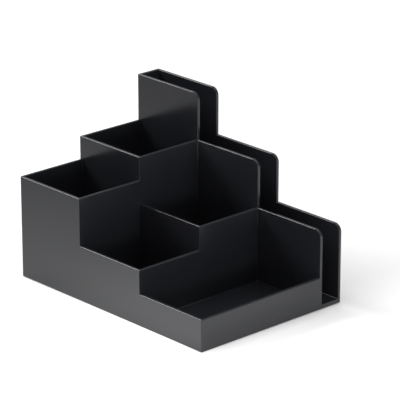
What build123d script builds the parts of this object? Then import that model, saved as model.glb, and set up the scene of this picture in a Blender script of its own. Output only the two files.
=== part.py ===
from build123d import *
import os

os.makedirs("parts", exist_ok=True)

# Desk organiser, one moulding in millimetres. +X runs along the front towards the low tray, +Y runs to
# the letter slot at the back, and the origin is on the table under the middle.

# Plan of the moulding
column_width = 55.5
row_depth = 49.3
slot_gap = 14.8
wall = 2.1

# Heights of the moulding, from its lower edge
skirt_height = 1.0
floor_thickness = 2.0
tray_height = 21.7
panel_height = 118.3

# Equal steps above the tray's rim, from the left column to the right one. The first panel is the tallest.
front_bin_steps = (3, 1, 0)
rear_bin_steps = (4, 2, 0)
panel_steps = (6, 4, 2)

# Roundings
panel_corner_radius = 5.5
outer_corner_radius = 0.8
edge_radius = 0.5

# Round rubber feet and their seats on the underside
foot_diameter = 9.0
foot_proud = 0.4
foot_inset = 12.0
foot_bevel = 0.3
seat_clearance = 0.3
seat_wall = 1.0
seat_height = 0.5

# Places that follow from the sizes
pitch_x = column_width + wall
pitch_y = row_depth + wall
length = 3 * pitch_x + wall
depth = 2 * pitch_y + slot_gap + 2 * wall
left = -length / 2
right = length / 2
front = -depth / 2
back = depth / 2
rear_bins_front = front + pitch_y
panel_front = rear_bins_front + pitch_y
column_ends = [left + wall + pitch_x * (column + 1) for column in range(3)]
base = foot_proud
floor_top = base + skirt_height + floor_thickness
tray_top = base + tray_height
step_rise = (panel_height - tray_height) / panel_steps[0]
panel_tops = [tray_top + step_rise * steps for steps in panel_steps]
rounding = min(edge_radius, wall / 4)


with BuildPart() as organiser_body:
    # Terraces of the two rows of bins and the tray, each running back under the panels
    for row_front, row_steps in ((front, front_bin_steps), (rear_bins_front, rear_bin_steps)):
        for column_end, steps in zip(column_ends, row_steps):
            with BuildSketch(Plane.XY.offset(base)):
                with Locations(((left + column_end) / 2, (row_front + back) / 2)):
                    Rectangle(column_end - left, back - row_front)
            extrude(amount=tray_height + step_rise * steps)

    # Stepped panels, drawn from the front as one block across the slot, their free corners rounded
    with BuildSketch(Plane.XZ.offset(-back)) as panels:
        for column_end, top in zip(column_ends, panel_tops):
            with Locations(((left + column_end) / 2, (base + top) / 2)):
                Rectangle(column_end - left, top - base)
        corners = [
            panels.vertices().sort_by_distance((column_end, top))[0]
            for column_end, top in zip(column_ends, panel_tops)
        ]
        fillet(corners, radius=panel_corner_radius)
    extrude(amount=back - panel_front)

    # Four bins, the tray that spans both rows, and the slot, which is open at its right end
    with BuildSketch(Plane.XY.offset(floor_top)):
        with Locations((left + wall / 2 + pitch_x, front + wall / 2 + pitch_y)):
            with GridLocations(pitch_x, pitch_y, 2, 2):
                Rectangle(column_width, row_depth)
        with Locations((right - wall - column_width / 2, front + wall / 2 + pitch_y)):
            Rectangle(column_width, row_depth + pitch_y)
        with Locations((wall, back - wall - slot_gap / 2)):
            Rectangle(length, slot_gap)
    extrude(amount=panel_height, mode=Mode.SUBTRACT)

    # Roundings: the outer corners, then every rim and the lower edge, and last the edges round the floors
    uprights = organiser_body.edges().filter_by(Axis.Z)
    outer_corners = [
        uprights.sort_by_distance((x, y, base))[0] for x, y in ((left, front), (right, front), (left, back))
    ]
    fillet(outer_corners, radius=outer_corner_radius)
    outward_edges = organiser_body.edges().filter_by(lambda edge: not edge.is_interior)
    fillet(outward_edges.filter_by(Axis.Z, reverse=True), radius=rounding)
    floor_edges = organiser_body.edges().group_by(lambda edge: abs(edge.center().Z - floor_top))[0]
    fillet(floor_edges.filter_by(lambda edge: edge.is_interior), radius=rounding)

    # Underside: the floor lies inside a low skirt, with a raised ring round each foot
    with BuildSketch(Plane.XY.offset(base)):
        RectangleRounded(length - 2 * wall, depth - 2 * wall, outer_corner_radius)
    extrude(amount=skirt_height, mode=Mode.SUBTRACT)
    with BuildSketch(Plane.XY.offset(base + skirt_height)):
        with GridLocations(length - 2 * foot_inset, depth - 2 * foot_inset, 2, 2):
            Circle(foot_diameter / 2 + seat_clearance + seat_wall)
            Circle(foot_diameter / 2 + seat_clearance, mode=Mode.SUBTRACT)
    extrude(amount=-seat_height)

organiser_body.part.label = "organiser_body"
export_step(organiser_body.part, "parts/organiser_body.step")

for end, y in (("front", front + foot_inset), ("back", back - foot_inset)):
    for side, x in (("left", left + foot_inset), ("right", right - foot_inset)):
        with BuildPart() as foot:
            with BuildSketch():
                with Locations((x, y)):
                    Circle(foot_diameter / 2)
            extrude(amount=foot_proud + skirt_height)
            chamfer(foot.edges().group_by(Axis.Z)[0], length=foot_bevel)
        foot.part.label = f"foot_{end}_{side}"
        export_step(foot.part, f"parts/{foot.part.label}.step")
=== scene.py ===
import math

import bmesh
import bpy
from mathutils import Matrix, Vector


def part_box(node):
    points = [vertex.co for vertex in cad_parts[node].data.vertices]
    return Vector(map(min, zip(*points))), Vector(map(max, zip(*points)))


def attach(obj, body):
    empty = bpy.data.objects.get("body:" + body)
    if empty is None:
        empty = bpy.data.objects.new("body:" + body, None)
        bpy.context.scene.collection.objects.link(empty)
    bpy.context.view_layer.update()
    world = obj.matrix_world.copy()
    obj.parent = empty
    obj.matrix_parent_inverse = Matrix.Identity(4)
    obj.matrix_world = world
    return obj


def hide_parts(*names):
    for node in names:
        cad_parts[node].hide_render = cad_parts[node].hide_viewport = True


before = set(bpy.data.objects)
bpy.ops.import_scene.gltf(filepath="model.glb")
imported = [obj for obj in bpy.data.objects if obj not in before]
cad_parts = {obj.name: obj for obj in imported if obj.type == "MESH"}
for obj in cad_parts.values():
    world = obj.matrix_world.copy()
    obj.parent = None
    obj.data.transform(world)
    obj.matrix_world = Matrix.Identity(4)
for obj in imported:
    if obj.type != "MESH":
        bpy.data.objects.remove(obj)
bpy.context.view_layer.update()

bl_info = {
    "name": "Stepped desk organiser",
    "version": (1, 0, 0),
    "blender": (4, 5, 0),
    "location": "3D View > Sidebar > Organiser",
    "description": "Stepped desk organiser in black polystyrene, with its feet and studio stage",
    "category": "Add Mesh",
}

BODY_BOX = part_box("organiser_body")
MM = 0.001

# Equal steps above the tray's rim, from the left column to the right one
FRONT_BIN_STEPS = (3, 1, 0)
REAR_BIN_STEPS = (4, 2, 0)
PANEL_STEPS = (6, 4, 2)
COLUMNS = len(PANEL_STEPS)

# Places that differ by less than this are one place
NEAR = 0.05 * MM
# Points closer than this are merged where two roundings overlap
OVERLAP = 0.02 * MM
# Faces that turn by less than this are one flat face
FLAT = math.radians(1)
# An edge that turns by more than this is rounded, or stays sharp in the shading as well
SHARP = math.radians(40)
# Facets in a rounding, in the panels' larger one and round a ring
EDGE_SEGMENTS = 4
PANEL_SEGMENTS = 14
RING_SEGMENTS = 64

# Sockets of a Mix node for colours, which share their names with those for numbers
MIX_FIRST, MIX_SECOND, MIX_RESULT = 6, 7, 2

# Stage: the side of the floor, the middle of the picture, and the way to the picture's right
FLOOR_SIZE = 12
PICTURE_MIDDLE = Vector((9.134, 9.921, 62.221)) * MM
RIGHTWARDS = (0.68, 0.73, 0)
# The middle of the painted pool of light on the floor, which the front walls mirror, and its half
# lengths, of which the upward one counts for nothing
PAINTED_POOL_MIDDLE = Vector((60, -90, 0)) * MM
PAINTED_POOL_REACH = (190 * MM, 160 * MM, 1)
# Where the lamps point, and each lamp's name, place, long side's direction, width, length and watts
LAMP_AIM = Vector((0, 0, 0.05))
LAMPS = (
    ("key", (-1.52, -0.6, 1.33), (0, 0.9, 0.43), 0.72, 1.2, 29),
    ("top", (0.1, 0.2, 1.9), (0, 1, 0), 1.6, 1.6, 18),
    ("low", (1.75, -0.1, 0.22), (0, 1, 0), 0.3, 1.1, 6.5),
)
# Brightness of the backdrop, of the sky over it, and of the soft light that both give
BACKDROP_WHITE = 1.0
SKY_GREY = 0.35
SOFT_LIGHT = 0.33
# Heights above the horizon, as shares of straight up, where the backdrop ends and the sky begins
BACKDROP_END = 0.1
SKY_START = 0.26


def to_linear(colour):
    """The linear colour of an sRGB hex value such as "#1A1A1C"."""
    parts = [int(colour[i:i + 2], 16) / 255 for i in (1, 3, 5)]
    return tuple(c / 12.92 if c <= 0.04045 else ((c + 0.055) / 1.055) ** 2.4 for c in parts)


def add_node(tree, kind, settings=None, inputs=None):
    """Adds a node, sets its options, and fills or links its inputs by name or number."""
    node = tree.nodes.new(kind)
    for name, value in (settings or {}).items():
        setattr(node, name, value)
    for key, value in (inputs or {}).items():
        if isinstance(value, bpy.types.NodeSocket):
            tree.links.new(value, node.inputs[key])
        else:
            node.inputs[key].default_value = value
    return node


def new_material(name):
    """A node material with nothing in it yet, and its tree."""
    material = bpy.data.materials.new(name)
    material.use_nodes = True
    material.node_tree.nodes.clear()
    return material, material.node_tree


def length(name, description, millimetres):
    """A length that the user sets, shown in the scene's unit."""
    return bpy.props.FloatProperty(
        name=name, description=description, min=0, subtype="DISTANCE", unit="LENGTH",
        precision=4, default=millimetres * MM)


class MouldingSettings(bpy.types.PropertyGroup):
    wall: length("Wall", "Thickness of the walls and the panels", 2.1)
    slot_gap: length("Slot", "Width of the letter slot", 14.8)
    skirt: length("Skirt", "Depth of the recess under the floor", 1.0)
    floor: length("Floor thickness", "Thickness of the floor", 2.0)
    tray_height: length("Tray height", "From the lower edge to the tray's rim", 21.7)
    panel_corner: length("Panel corners", "Radius of the panels' free corners", 5.5)
    outer_corner: length("Outer corners", "Radius of the upright outer corners", 0.8)
    edge: length("Edges", "Radius of the rims and round the floors", 0.5)
    inside_edge: length("Inside corners", "Radius of the upright corners inside", 0.3)
    step_edge: length("Step edges", "Radius of the uprights of the steps", 0.12)
    seat_gap: length("Seat clearance", "Between each foot and the ring round it", 0.3)
    seat_wall: length("Seat wall", "Thickness of the ring round each foot", 1.0)
    seat_height: length("Seat height", "How far the ring stands below the floor", 0.5)
    seat_edge: length("Seat edges", "Radius of the ring's edges", 0.15)
    colour: bpy.props.FloatVectorProperty(
        name="Colour", description="Colour of the pigmented polystyrene", subtype="COLOR", size=3,
        min=0, max=1, default=to_linear("#222327"))
    roughness: bpy.props.FloatProperty(
        name="Roughness", description="Mean roughness of the moulded surface", min=0, max=1,
        subtype="FACTOR", default=0.17)
    ripple: bpy.props.FloatProperty(
        name="Ripple", description="Width of the faint ripples that the mould leaves",
        min=0.5 * MM, subtype="DISTANCE", unit="LENGTH", default=6 * MM)


class FootSettings(bpy.types.PropertyGroup):
    colour: bpy.props.FloatVectorProperty(
        name="Colour", description="Colour of the rubber feet", subtype="COLOR", size=3,
        min=0, max=1, default=to_linear("#242424"))


class StageSettings(bpy.types.PropertyGroup):
    floor_colour: bpy.props.FloatVectorProperty(
        name="Floor", description="Colour of the floor", subtype="COLOR", size=3,
        min=0, max=1, default=to_linear("#F4F4F4"))
    azimuth: bpy.props.FloatProperty(
        name="Azimuth", description="Turn of the camera from the front towards the low tray",
        subtype="ANGLE", unit="ROTATION", default=math.radians(47.364))
    elevation: bpy.props.FloatProperty(
        name="Elevation", description="Height of the camera as an angle",
        subtype="ANGLE", unit="ROTATION", default=math.radians(20.007))
    distance: bpy.props.FloatProperty(
        name="Distance", description="From the camera to the middle of the picture",
        subtype="DISTANCE", unit="LENGTH", default=1.6811)
    lens: bpy.props.FloatProperty(
        name="Lens", description="Focal length on a 36 mm sensor", min=10, default=234.31)


def moulded_polystyrene(settings):
    """Black polystyrene, injection moulded in a polished steel mould. The eye sees a near-black
    body under a clear gloss that blurs what it reflects a little, with faint ripples across the
    flat walls."""
    material, tree = new_material("black_polystyrene_moulded")
    place = add_node(tree, "ShaderNodeTexCoord").outputs["Object"]
    # Ripples a few millimetres wide, where the skin of the plastic set unevenly
    ripple = add_node(tree, "ShaderNodeTexNoise", inputs={
        "Vector": place, "Scale": 1 / settings.ripple, "Detail": 2.0, "Roughness": 0.4})
    # Grain of the steel, about 0.1 mm on the real wall and drawn wider so that it shows
    grain_width = 0.8 * MM
    grain = add_node(tree, "ShaderNodeTexNoise", inputs={
        "Vector": place, "Scale": 1 / grain_width, "Detail": 3.0, "Roughness": 0.6})
    # Patches a few centimetres wide that polish a little differently
    patch_width = 35 * MM
    patch = add_node(tree, "ShaderNodeTexNoise", inputs={
        "Vector": place, "Scale": 1 / patch_width, "Detail": 2.0, "Roughness": 0.5})
    # The noise of the patches runs from about 0.3 to 0.7
    glossier, duller, grain_roughness = -0.03, 0.04, 0.02
    rough = add_node(tree, "ShaderNodeMapRange", inputs={
        "Value": patch.outputs["Fac"], "From Min": 0.3, "From Max": 0.7,
        "To Min": settings.roughness + glossier, "To Max": settings.roughness + duller})
    fine_rough = add_node(tree, "ShaderNodeMath", {"operation": "MULTIPLY_ADD"}, {
        0: grain.outputs["Fac"], 1: grain_roughness, 2: rough.outputs["Result"]})
    paler = 1.25
    tint = add_node(tree, "ShaderNodeMix", {"data_type": "RGBA"}, {
        "Factor": patch.outputs["Fac"], MIX_FIRST: (*settings.colour, 1),
        MIX_SECOND: (*[part * paler for part in settings.colour], 1)})
    ripple_depth, grain_depth = 0.05 * MM, 0.01 * MM
    wave = add_node(tree, "ShaderNodeBump", inputs={
        "Height": ripple.outputs["Fac"], "Strength": 0.25, "Distance": ripple_depth})
    bump = add_node(tree, "ShaderNodeBump", inputs={
        "Height": grain.outputs["Fac"], "Strength": 0.1, "Distance": grain_depth,
        "Normal": wave.outputs["Normal"]})
    shader = add_node(tree, "ShaderNodeBsdfPrincipled", inputs={
        "Base Color": tint.outputs[MIX_RESULT], "Roughness": fine_rough.outputs[0], "IOR": 1.5,
        "Normal": bump.outputs["Normal"]})
    add_node(tree, "ShaderNodeOutputMaterial", inputs={"Surface": shader.outputs[0]})
    return material


def moulded_rubber(settings):
    """Rubber, compression moulded and left matt, with a fine grain that shows as a soft bloom."""
    material, tree = new_material("foot_rubber_moulded")
    place = add_node(tree, "ShaderNodeTexCoord").outputs["Object"]
    grain_width, grain_depth = 0.5 * MM, 0.05 * MM
    grain = add_node(tree, "ShaderNodeTexNoise", inputs={
        "Vector": place, "Scale": 1 / grain_width, "Detail": 4.0})
    rough = add_node(tree, "ShaderNodeMapRange", inputs={
        "Value": grain.outputs["Fac"], "To Min": 0.68, "To Max": 0.86})
    bump = add_node(tree, "ShaderNodeBump", inputs={
        "Height": grain.outputs["Fac"], "Strength": 0.3, "Distance": grain_depth})
    shader = add_node(tree, "ShaderNodeBsdfPrincipled", inputs={
        "Base Color": (*settings.colour, 1), "Roughness": rough.outputs["Result"], "IOR": 1.52,
        "Normal": bump.outputs["Normal"]})
    add_node(tree, "ShaderNodeOutputMaterial", inputs={"Surface": shader.outputs[0]})
    return material


def seen_directly(tree):
    """1 for rays from the camera, a gloss or a clear body, and 0 for soft light."""
    path = add_node(tree, "ShaderNodeLightPath")
    gloss = add_node(tree, "ShaderNodeMath", {"operation": "MAXIMUM"}, {
        0: path.outputs["Is Camera Ray"], 1: path.outputs["Is Glossy Ray"]})
    return add_node(tree, "ShaderNodeMath", {"operation": "MAXIMUM"}, {
        0: gloss.outputs[0], 1: path.outputs["Is Transmission Ray"]}).outputs[0]


def studio_paper_painted_light(settings):
    """White paper, matt, which the walls of the organiser mirror, with light and shade painted on
    it: its colour darkens towards the left, and it shines for the camera and in reflections in a
    pool in front of the organiser, less past its front corner and more beside the tray, where it
    lies in the organiser's shadow."""
    material, tree = new_material("studio_floor_paper_painted_light")
    place = add_node(tree, "ShaderNodeTexCoord").outputs["Object"]
    sideways = add_node(tree, "ShaderNodeVectorMath", {"operation": "DOT_PRODUCT"}, {
        0: place, 1: RIGHTWARDS}).outputs["Value"]
    along = add_node(tree, "ShaderNodeSeparateXYZ", inputs={"Vector": place}).outputs["X"]
    offset = add_node(tree, "ShaderNodeVectorMath", {"operation": "SUBTRACT"}, {
        0: place, 1: PAINTED_POOL_MIDDLE})
    share = add_node(tree, "ShaderNodeVectorMath", {"operation": "DIVIDE"}, {
        0: offset.outputs["Vector"], 1: PAINTED_POOL_REACH})
    from_pool = add_node(tree, "ShaderNodeVectorMath", {"operation": "LENGTH"}, {
        0: share.outputs["Vector"]}).outputs["Value"]

    # Each fade follows a distance, and goes from a value at its start to another at its end
    fades = {}
    for name, distance, start, end, first, last in (
            # Painted shade: the paper's colour darkens to the left, as if its light fell off there,
            # which the high walls mirror
            ("light", sideways, -385 * MM, -100 * MM, 0.37, 1.0),
            # Painted light: whiter in a long pool in front of the organiser, which its front walls
            # mirror
            ("pool", from_pool, 0.1, 1.0, 0.95, 0.16),
            # Painted shade: less of that painted light to the right, past the organiser's front
            # corner
            ("corner", sideways, -10 * MM, 35 * MM, 1.0, 0.35),
            # Painted light: paler beside the tray, where the paper lies in the organiser's shadow
            ("shadow", along, 60 * MM, 125 * MM, 0.0, 0.19)):
        fades[name] = add_node(tree, "ShaderNodeMapRange", {"interpolation_type": "SMOOTHSTEP"}, {
            "Value": distance, "From Min": start, "From Max": end, "To Min": first,
            "To Max": last}).outputs["Result"]

    # Painted shade: the paper's colour is scaled down towards the left
    painted_falloff_tone = add_node(tree, "ShaderNodeVectorMath", {"operation": "SCALE"}, {
        0: tuple(settings.floor_colour), "Scale": fades["light"]})
    paper = add_node(tree, "ShaderNodeBsdfDiffuse", inputs={"Color": painted_falloff_tone.outputs["Vector"]})
    # Painted light: how strongly the paper shines for the camera and in reflections, from the pool,
    # the corner and the tray's side
    level = add_node(tree, "ShaderNodeMath", {"operation": "MULTIPLY_ADD"}, {
        0: fades["pool"], 1: fades["corner"], 2: fades["shadow"]})
    strength = add_node(tree, "ShaderNodeMath", {"operation": "MULTIPLY"}, {
        0: seen_directly(tree), 1: level.outputs[0]})
    glow = add_node(tree, "ShaderNodeEmission", inputs={"Strength": strength.outputs[0]})
    lit = add_node(tree, "ShaderNodeAddShader", inputs={0: paper.outputs[0], 1: glow.outputs[0]})
    # Clear from below, so that the underside of the organiser can be looked at
    both = add_node(tree, "ShaderNodeMixShader", inputs={
        0: add_node(tree, "ShaderNodeNewGeometry").outputs["Backfacing"], 1: lit.outputs[0],
        2: add_node(tree, "ShaderNodeBsdfTransparent").outputs[0]})
    add_node(tree, "ShaderNodeOutputMaterial", inputs={"Surface": both.outputs[0]})
    return material


def studio_world():
    """White up to just above the horizon and pale grey over the studio, with an even soft light."""
    world = bpy.data.worlds.new("studio")
    world.use_nodes = True
    tree = world.node_tree
    tree.nodes.clear()
    height = add_node(tree, "ShaderNodeSeparateXYZ", inputs={
        "Vector": add_node(tree, "ShaderNodeTexCoord").outputs["Generated"]})
    dome = add_node(tree, "ShaderNodeMapRange", {"interpolation_type": "SMOOTHSTEP"}, {
        "Value": height.outputs["Z"], "From Min": BACKDROP_END, "From Max": SKY_START,
        "To Min": BACKDROP_WHITE, "To Max": SKY_GREY})
    level = add_node(tree, "ShaderNodeMapRange", inputs={
        "Value": seen_directly(tree), "To Min": SOFT_LIGHT, "To Max": dome.outputs["Result"]})
    sky = add_node(tree, "ShaderNodeBackground", inputs={
        "Color": (1, 1, 1, 1), "Strength": level.outputs["Result"]})
    add_node(tree, "ShaderNodeOutputWorld", inputs={"Surface": sky.outputs[0]})
    return world


def deselect_all():
    for thing in bpy.context.selected_objects:
        thing.select_set(False)


def select(piece, kind, test):
    """Selects the faces or edges of a piece that pass a test, and leaves it in edit mode."""
    bpy.ops.object.mode_set(mode="OBJECT")
    bpy.context.tool_settings.mesh_select_mode = (False, kind == "edges", kind == "faces")
    mesh = piece.data
    for part in (mesh.vertices, mesh.edges, mesh.polygons):
        part.foreach_set("select", [False] * len(part))
    chosen = 0
    for part in mesh.polygons if kind == "faces" else mesh.edges:
        part.select = test(part)
        chosen += part.select
    bpy.ops.object.mode_set(mode="EDIT")
    if not chosen:
        raise RuntimeError(f"{piece.name}: no {kind} to shape")


def faces_up(face):
    return face.normal.z > 0.5


def faces_down(face):
    return face.normal.z < -0.5


def raise_faces(piece, test, height):
    select(piece, "faces", test)
    bpy.ops.mesh.extrude_region_move(TRANSFORM_OT_translate={"value": (0, 0, height)})


def lies_on(piece, edge, **place):
    """Whether both ends of an edge have the x, y or z given."""
    ends = [piece.data.vertices[index].co for index in edge.vertices]
    return all(
        abs(getattr(end, axis) - value) < NEAR for end in ends for axis, value in place.items())


def round_edges(piece, test, radius, segments):
    select(piece, "edges", test)
    bpy.ops.mesh.bevel(
        offset=radius, segments=segments, profile=0.5, affect="EDGES", clamp_overlap=False)


def apply_modifier(piece, kind, **settings):
    """Adds a modifier to the active piece and applies it."""
    bpy.ops.object.modifier_add(type=kind)
    modifier = piece.modifiers[-1]
    for name, value in settings.items():
        setattr(modifier, name, value)
    bpy.ops.object.modifier_apply(modifier=modifier.name)


class Plan:
    """Where the walls of the moulding stand and how high, from the CAD's box and the sizes."""

    def __init__(self, settings):
        (self.left, self.front, self.base), (self.right, self.back, top) = BODY_BOX
        self.wall = settings.wall
        pitch_x = (self.right - self.left - self.wall) / COLUMNS
        self.column_ends = [
            self.left + self.wall + pitch_x * (column + 1) for column in range(COLUMNS)]
        pitch_y = (self.back - self.front - settings.slot_gap - 2 * self.wall) / 2
        self.rear_bins_front = self.front + pitch_y
        self.panel_front = self.rear_bins_front + pitch_y
        self.floor_under = self.base + settings.skirt
        self.floor_top = self.floor_under + settings.floor
        tray_top = self.base + settings.tray_height
        rise = (top - tray_top) / PANEL_STEPS[0]
        self.levels = [tray_top + rise * step for step in range(PANEL_STEPS[0] + 1)]

    def within(self, x, y, back):
        """Whether a place lies inside the outer walls, and in front of a line across the floor."""
        return (self.left + self.wall < x < self.right - self.wall
                and self.front + self.wall < y < back)

    def steps(self, x, y):
        """How many steps the wall here stands above the tray's rim, or -1 over a floor."""
        column = next(i for i, end in enumerate(self.column_ends) if x < end)
        in_slot = (self.panel_front + self.wall < y < self.back - self.wall
                   and x > self.left + self.wall)
        between_columns = any(end - self.wall < x < end for end in self.column_ends[:2])
        between_rows = (
            self.rear_bins_front < y < self.rear_bins_front + self.wall and column < 2)
        on_wall = between_columns or between_rows
        if in_slot or (self.within(x, y, self.panel_front) and not on_wall):
            return -1
        rows = ((self.rear_bins_front, FRONT_BIN_STEPS), (self.panel_front, REAR_BIN_STEPS),
                (self.back, PANEL_STEPS))
        return next(levels for end, levels in rows if y < end)[column]


def cut_floor(plan):
    """The floor, cut along both sides of every wall."""
    deselect_all()
    bpy.ops.mesh.primitive_cube_add(
        size=1,
        location=((plan.left + plan.right) / 2, (plan.front + plan.back) / 2,
                  (plan.floor_under + plan.floor_top) / 2),
        scale=(plan.right - plan.left, plan.back - plan.front, plan.floor_top - plan.floor_under))
    piece = bpy.context.object
    piece.name = "moulding"
    bpy.ops.object.transform_apply(location=True, rotation=True, scale=True)
    wall = plan.wall
    lines_x = (
        plan.left + wall, *(x for end in plan.column_ends[:2] for x in (end - wall, end)),
        plan.right - wall)
    lines_y = (
        plan.front + wall, plan.rear_bins_front, plan.rear_bins_front + wall, plan.panel_front,
        plan.panel_front + wall, plan.back - wall)
    bpy.ops.object.mode_set(mode="EDIT")
    for axis, lines in (((1, 0, 0), lines_x), ((0, 1, 0), lines_y)):
        for line in lines:
            bpy.ops.mesh.select_all(action="SELECT")
            bpy.ops.mesh.bisect(plane_co=[line * part for part in axis], plane_no=axis)
    return piece


def draw_walls(piece, plan):
    """Walls drawn up from the floor level by level, and the skirt drawn down."""
    for step, (low, high) in enumerate(zip([plan.floor_top, *plan.levels], plan.levels)):
        raise_faces(piece, lambda face: faces_up(face) and abs(face.center.z - low) < NEAR
                    and plan.steps(face.center.x, face.center.y) >= step, high - low)
    raise_faces(piece, lambda face: faces_down(face) and not plan.within(
        face.center.x, face.center.y, plan.back - plan.wall), plan.base - plan.floor_under)
    # Flat faces made whole again
    bpy.ops.mesh.select_all(action="SELECT")
    bpy.ops.mesh.dissolve_limited(angle_limit=FLAT)


def round_corners(piece, plan, settings):
    """The free corners of the panels, and the upright outer corners."""
    corners = [(end, plan.levels[step]) for end, step in zip(plan.column_ends, PANEL_STEPS)]
    uprights = ((plan.left, plan.front), (plan.right, plan.front), (plan.left, plan.back))
    round_edges(piece, lambda edge: any(lies_on(piece, edge, x=x, z=z) for x, z in corners),
                settings.panel_corner, PANEL_SEGMENTS)
    round_edges(piece, lambda edge: any(lies_on(piece, edge, x=x, y=y) for x, y in uprights),
                settings.outer_corner, EDGE_SEGMENTS)
    bpy.ops.object.mode_set(mode="OBJECT")


def foot_seats(settings, under):
    """Rings that stand round the feet and reach up into the floor, drawn once and copied."""
    boxes = [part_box(name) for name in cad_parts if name.startswith("foot_")]
    places = [((low[0] + high[0]) / 2, (low[1] + high[1]) / 2) for low, high in boxes]
    bore = (boxes[0][1][0] - boxes[0][0][0]) / 2 + settings.seat_gap
    deselect_all()
    bpy.ops.mesh.primitive_cylinder_add(
        vertices=RING_SEGMENTS, radius=bore + settings.seat_wall,
        depth=2 * settings.seat_height, location=(*places[0], under))
    ring = bpy.context.object
    bpy.ops.object.transform_apply(location=True, rotation=True, scale=True)
    select(ring, "faces", lambda face: faces_up(face) or faces_down(face))
    bpy.ops.mesh.inset(thickness=settings.seat_wall)
    bpy.ops.mesh.bridge_edge_loops()
    bpy.ops.object.mode_set(mode="OBJECT")
    rings = [ring]
    for place in places[1:]:
        deselect_all()
        ring.select_set(True)
        bpy.context.view_layer.objects.active = ring
        bpy.ops.object.duplicate(linked=False)
        bpy.ops.transform.translate(
            value=(place[0] - places[0][0], place[1] - places[0][1], 0))
        bpy.ops.object.transform_apply(location=True, rotation=True, scale=True)
        rings.append(bpy.context.object)
    for piece in rings:
        piece.select_set(True)
    bpy.ops.object.join()
    return bpy.context.object


def fuse(piece, other):
    """Makes another piece part of this one."""
    deselect_all()
    piece.select_set(True)
    bpy.context.view_layer.objects.active = piece
    apply_modifier(piece, "BOOLEAN", operation="UNION", solver="EXACT", object=other)
    bpy.data.meshes.remove(other.data)


def edge_radius(plan, settings, ends, hollow):
    """The radius of a sharp edge, from its two ends and whether it is an inside corner. Every rim
    and floor gets the small radius of the mould, and the uprights inside and on the steps smaller
    ones. Where a rim runs against a wall the corner stays sharp."""
    upright = abs(ends[0].x - ends[1].x) < NEAR and abs(ends[0].y - ends[1].y) < NEAR
    on_panel = min(end.y for end in ends) > plan.panel_front - NEAR
    if hollow and upright:
        return settings.inside_edge
    if hollow:
        return settings.edge if abs(ends[0].z - plan.floor_top) < NEAR else 0
    if plan.base + NEAR < max(end.z for end in ends) < plan.floor_under:
        return settings.seat_edge
    return settings.step_edge if upright and not on_panel else settings.edge


def round_rims(piece, plan, settings):
    """Rounds every sharp edge by its own radius, and shades the roundings smooth."""
    shape = bmesh.new()
    shape.from_mesh(piece.data)
    weight = shape.edges.layers.float.new("bevel_weight_edge")
    for edge in shape.edges:
        if edge.calc_face_angle() > SHARP:
            ends = [vertex.co for vertex in edge.verts]
            edge[weight] = edge_radius(plan, settings, ends, not edge.is_convex) / settings.edge
    shape.to_mesh(piece.data)
    shape.free()
    apply_modifier(piece, "BEVEL", width=settings.edge, segments=EDGE_SEGMENTS,
                   limit_method="WEIGHT", use_clamp_overlap=False, loop_slide=False)
    # In the inside corners the roundings of two rims overlap a little
    apply_modifier(piece, "WELD", merge_threshold=OVERLAP)
    bpy.ops.object.shade_smooth_by_angle(angle=SHARP)
    apply_modifier(piece, "WEIGHTED_NORMAL", mode="FACE_AREA", weight=100, keep_sharp=True)


class ORGANISER_OT_moulding(bpy.types.Operator):
    """Makes the one-piece moulding with its bins, tray, panels and slot"""
    bl_idname = "organiser.moulding"
    bl_label = "Moulding"

    def execute(self, context):
        settings = context.scene.organiser_moulding
        plan = Plan(settings)
        piece = cut_floor(plan)
        draw_walls(piece, plan)
        round_corners(piece, plan, settings)
        fuse(piece, foot_seats(settings, plan.floor_under))
        round_rims(piece, plan, settings)
        piece.data.materials.append(moulded_polystyrene(settings))
        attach(piece, "root")
        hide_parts("organiser_body")
        return {"FINISHED"}


class ORGANISER_OT_feet(bpy.types.Operator):
    """Finishes the four feet in matt rubber"""
    bl_idname = "organiser.feet"
    bl_label = "Feet"

    def execute(self, context):
        rubber = moulded_rubber(context.scene.organiser_feet)
        for name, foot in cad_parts.items():
            if name.startswith("foot_"):
                for slot in foot.material_slots:
                    slot.material = rubber
        return {"FINISHED"}


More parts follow.
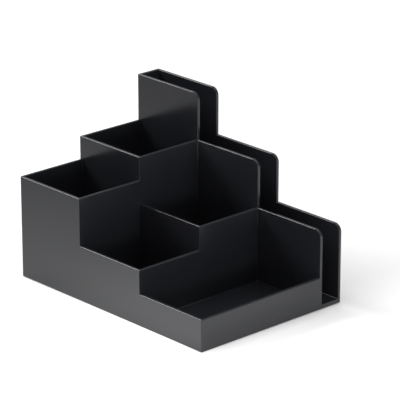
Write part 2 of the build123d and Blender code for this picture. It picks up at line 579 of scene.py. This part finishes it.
class ORGANISER_OT_stage(bpy.types.Operator):
    """Adds the floor, the soft lights and the camera"""
    bl_idname = "organiser.stage"
    bl_label = "Stage"

    def execute(self, context):
        settings = context.scene.organiser_stage
        deselect_all()
        bpy.ops.mesh.primitive_plane_add(size=FLOOR_SIZE, location=(0, 0, 0))
        floor = context.object
        floor.name = "studio_floor"
        floor.data.materials.append(studio_paper_painted_light(settings))
        context.scene.world = studio_world()

        # A soft box from the left, laid so that the rims mirror its whole length, one overhead,
        # and a low one from the right that lifts the walls of the bins
        for name, place, along, width, long, watts in LAMPS:
            back = (Vector(place) - LAMP_AIM).normalized()
            across = Vector(along).cross(back).normalized()
            axes = Matrix((across, back.cross(across), back)).transposed()
            bpy.ops.object.light_add(type="AREA", location=place, rotation=axes.to_euler())
            lamp = context.object
            lamp.name = "lamp_" + name
            lamp.data.shape = "RECTANGLE"
            lamp.data.size = width
            lamp.data.size_y = long
            lamp.data.energy = watts

        level_out = math.cos(settings.elevation)
        ahead = Vector((
            math.sin(settings.azimuth) * level_out, -math.cos(settings.azimuth) * level_out,
            math.sin(settings.elevation)))
        bpy.ops.object.camera_add(
            location=PICTURE_MIDDLE + ahead * settings.distance,
            rotation=(math.pi / 2 - settings.elevation, 0, settings.azimuth))
        camera = context.object
        camera.name = "photo_camera"
        camera.data.sensor_width = 36
        camera.data.lens = settings.lens
        context.scene.camera = camera
        context.scene.view_settings.view_transform = "Standard"
        return {"FINISHED"}


class ORGANISER_PT_panel(bpy.types.Panel):
    bl_label = "Stepped desk organiser"
    bl_space_type = "VIEW_3D"
    bl_region_type = "UI"
    bl_category = "Organiser"

    def draw(self, context):
        for label, owner, operator in PARTS:
            box = self.layout.box()
            box.label(text=label)
            group = getattr(context.scene, owner)
            for name in group.bl_rna.properties.keys():
                if name not in ("rna_type", "name"):
                    box.prop(group, name)
            box.operator(operator)


PARTS = (
    ("Moulding", "organiser_moulding", "organiser.moulding"),
    ("Feet", "organiser_feet", "organiser.feet"),
    ("Stage", "organiser_stage", "organiser.stage"),
)
GROUPS = {
    "organiser_moulding": MouldingSettings,
    "organiser_feet": FootSettings,
    "organiser_stage": StageSettings,
}
CLASSES = (
    *GROUPS.values(), ORGANISER_OT_moulding, ORGANISER_OT_feet, ORGANISER_OT_stage,
    ORGANISER_PT_panel,
)


def register():
    for cls in CLASSES:
        bpy.utils.register_class(cls)
    for name, group in GROUPS.items():
        setattr(bpy.types.Scene, name, bpy.props.PointerProperty(type=group))


def unregister():
    for name in GROUPS:
        delattr(bpy.types.Scene, name)
    for cls in reversed(CLASSES):
        bpy.utils.unregister_class(cls)


def main():
    register()
    bpy.ops.organiser.moulding()
    bpy.ops.organiser.feet()
    bpy.ops.organiser.stage()


if __name__ == "__main__":
    main()
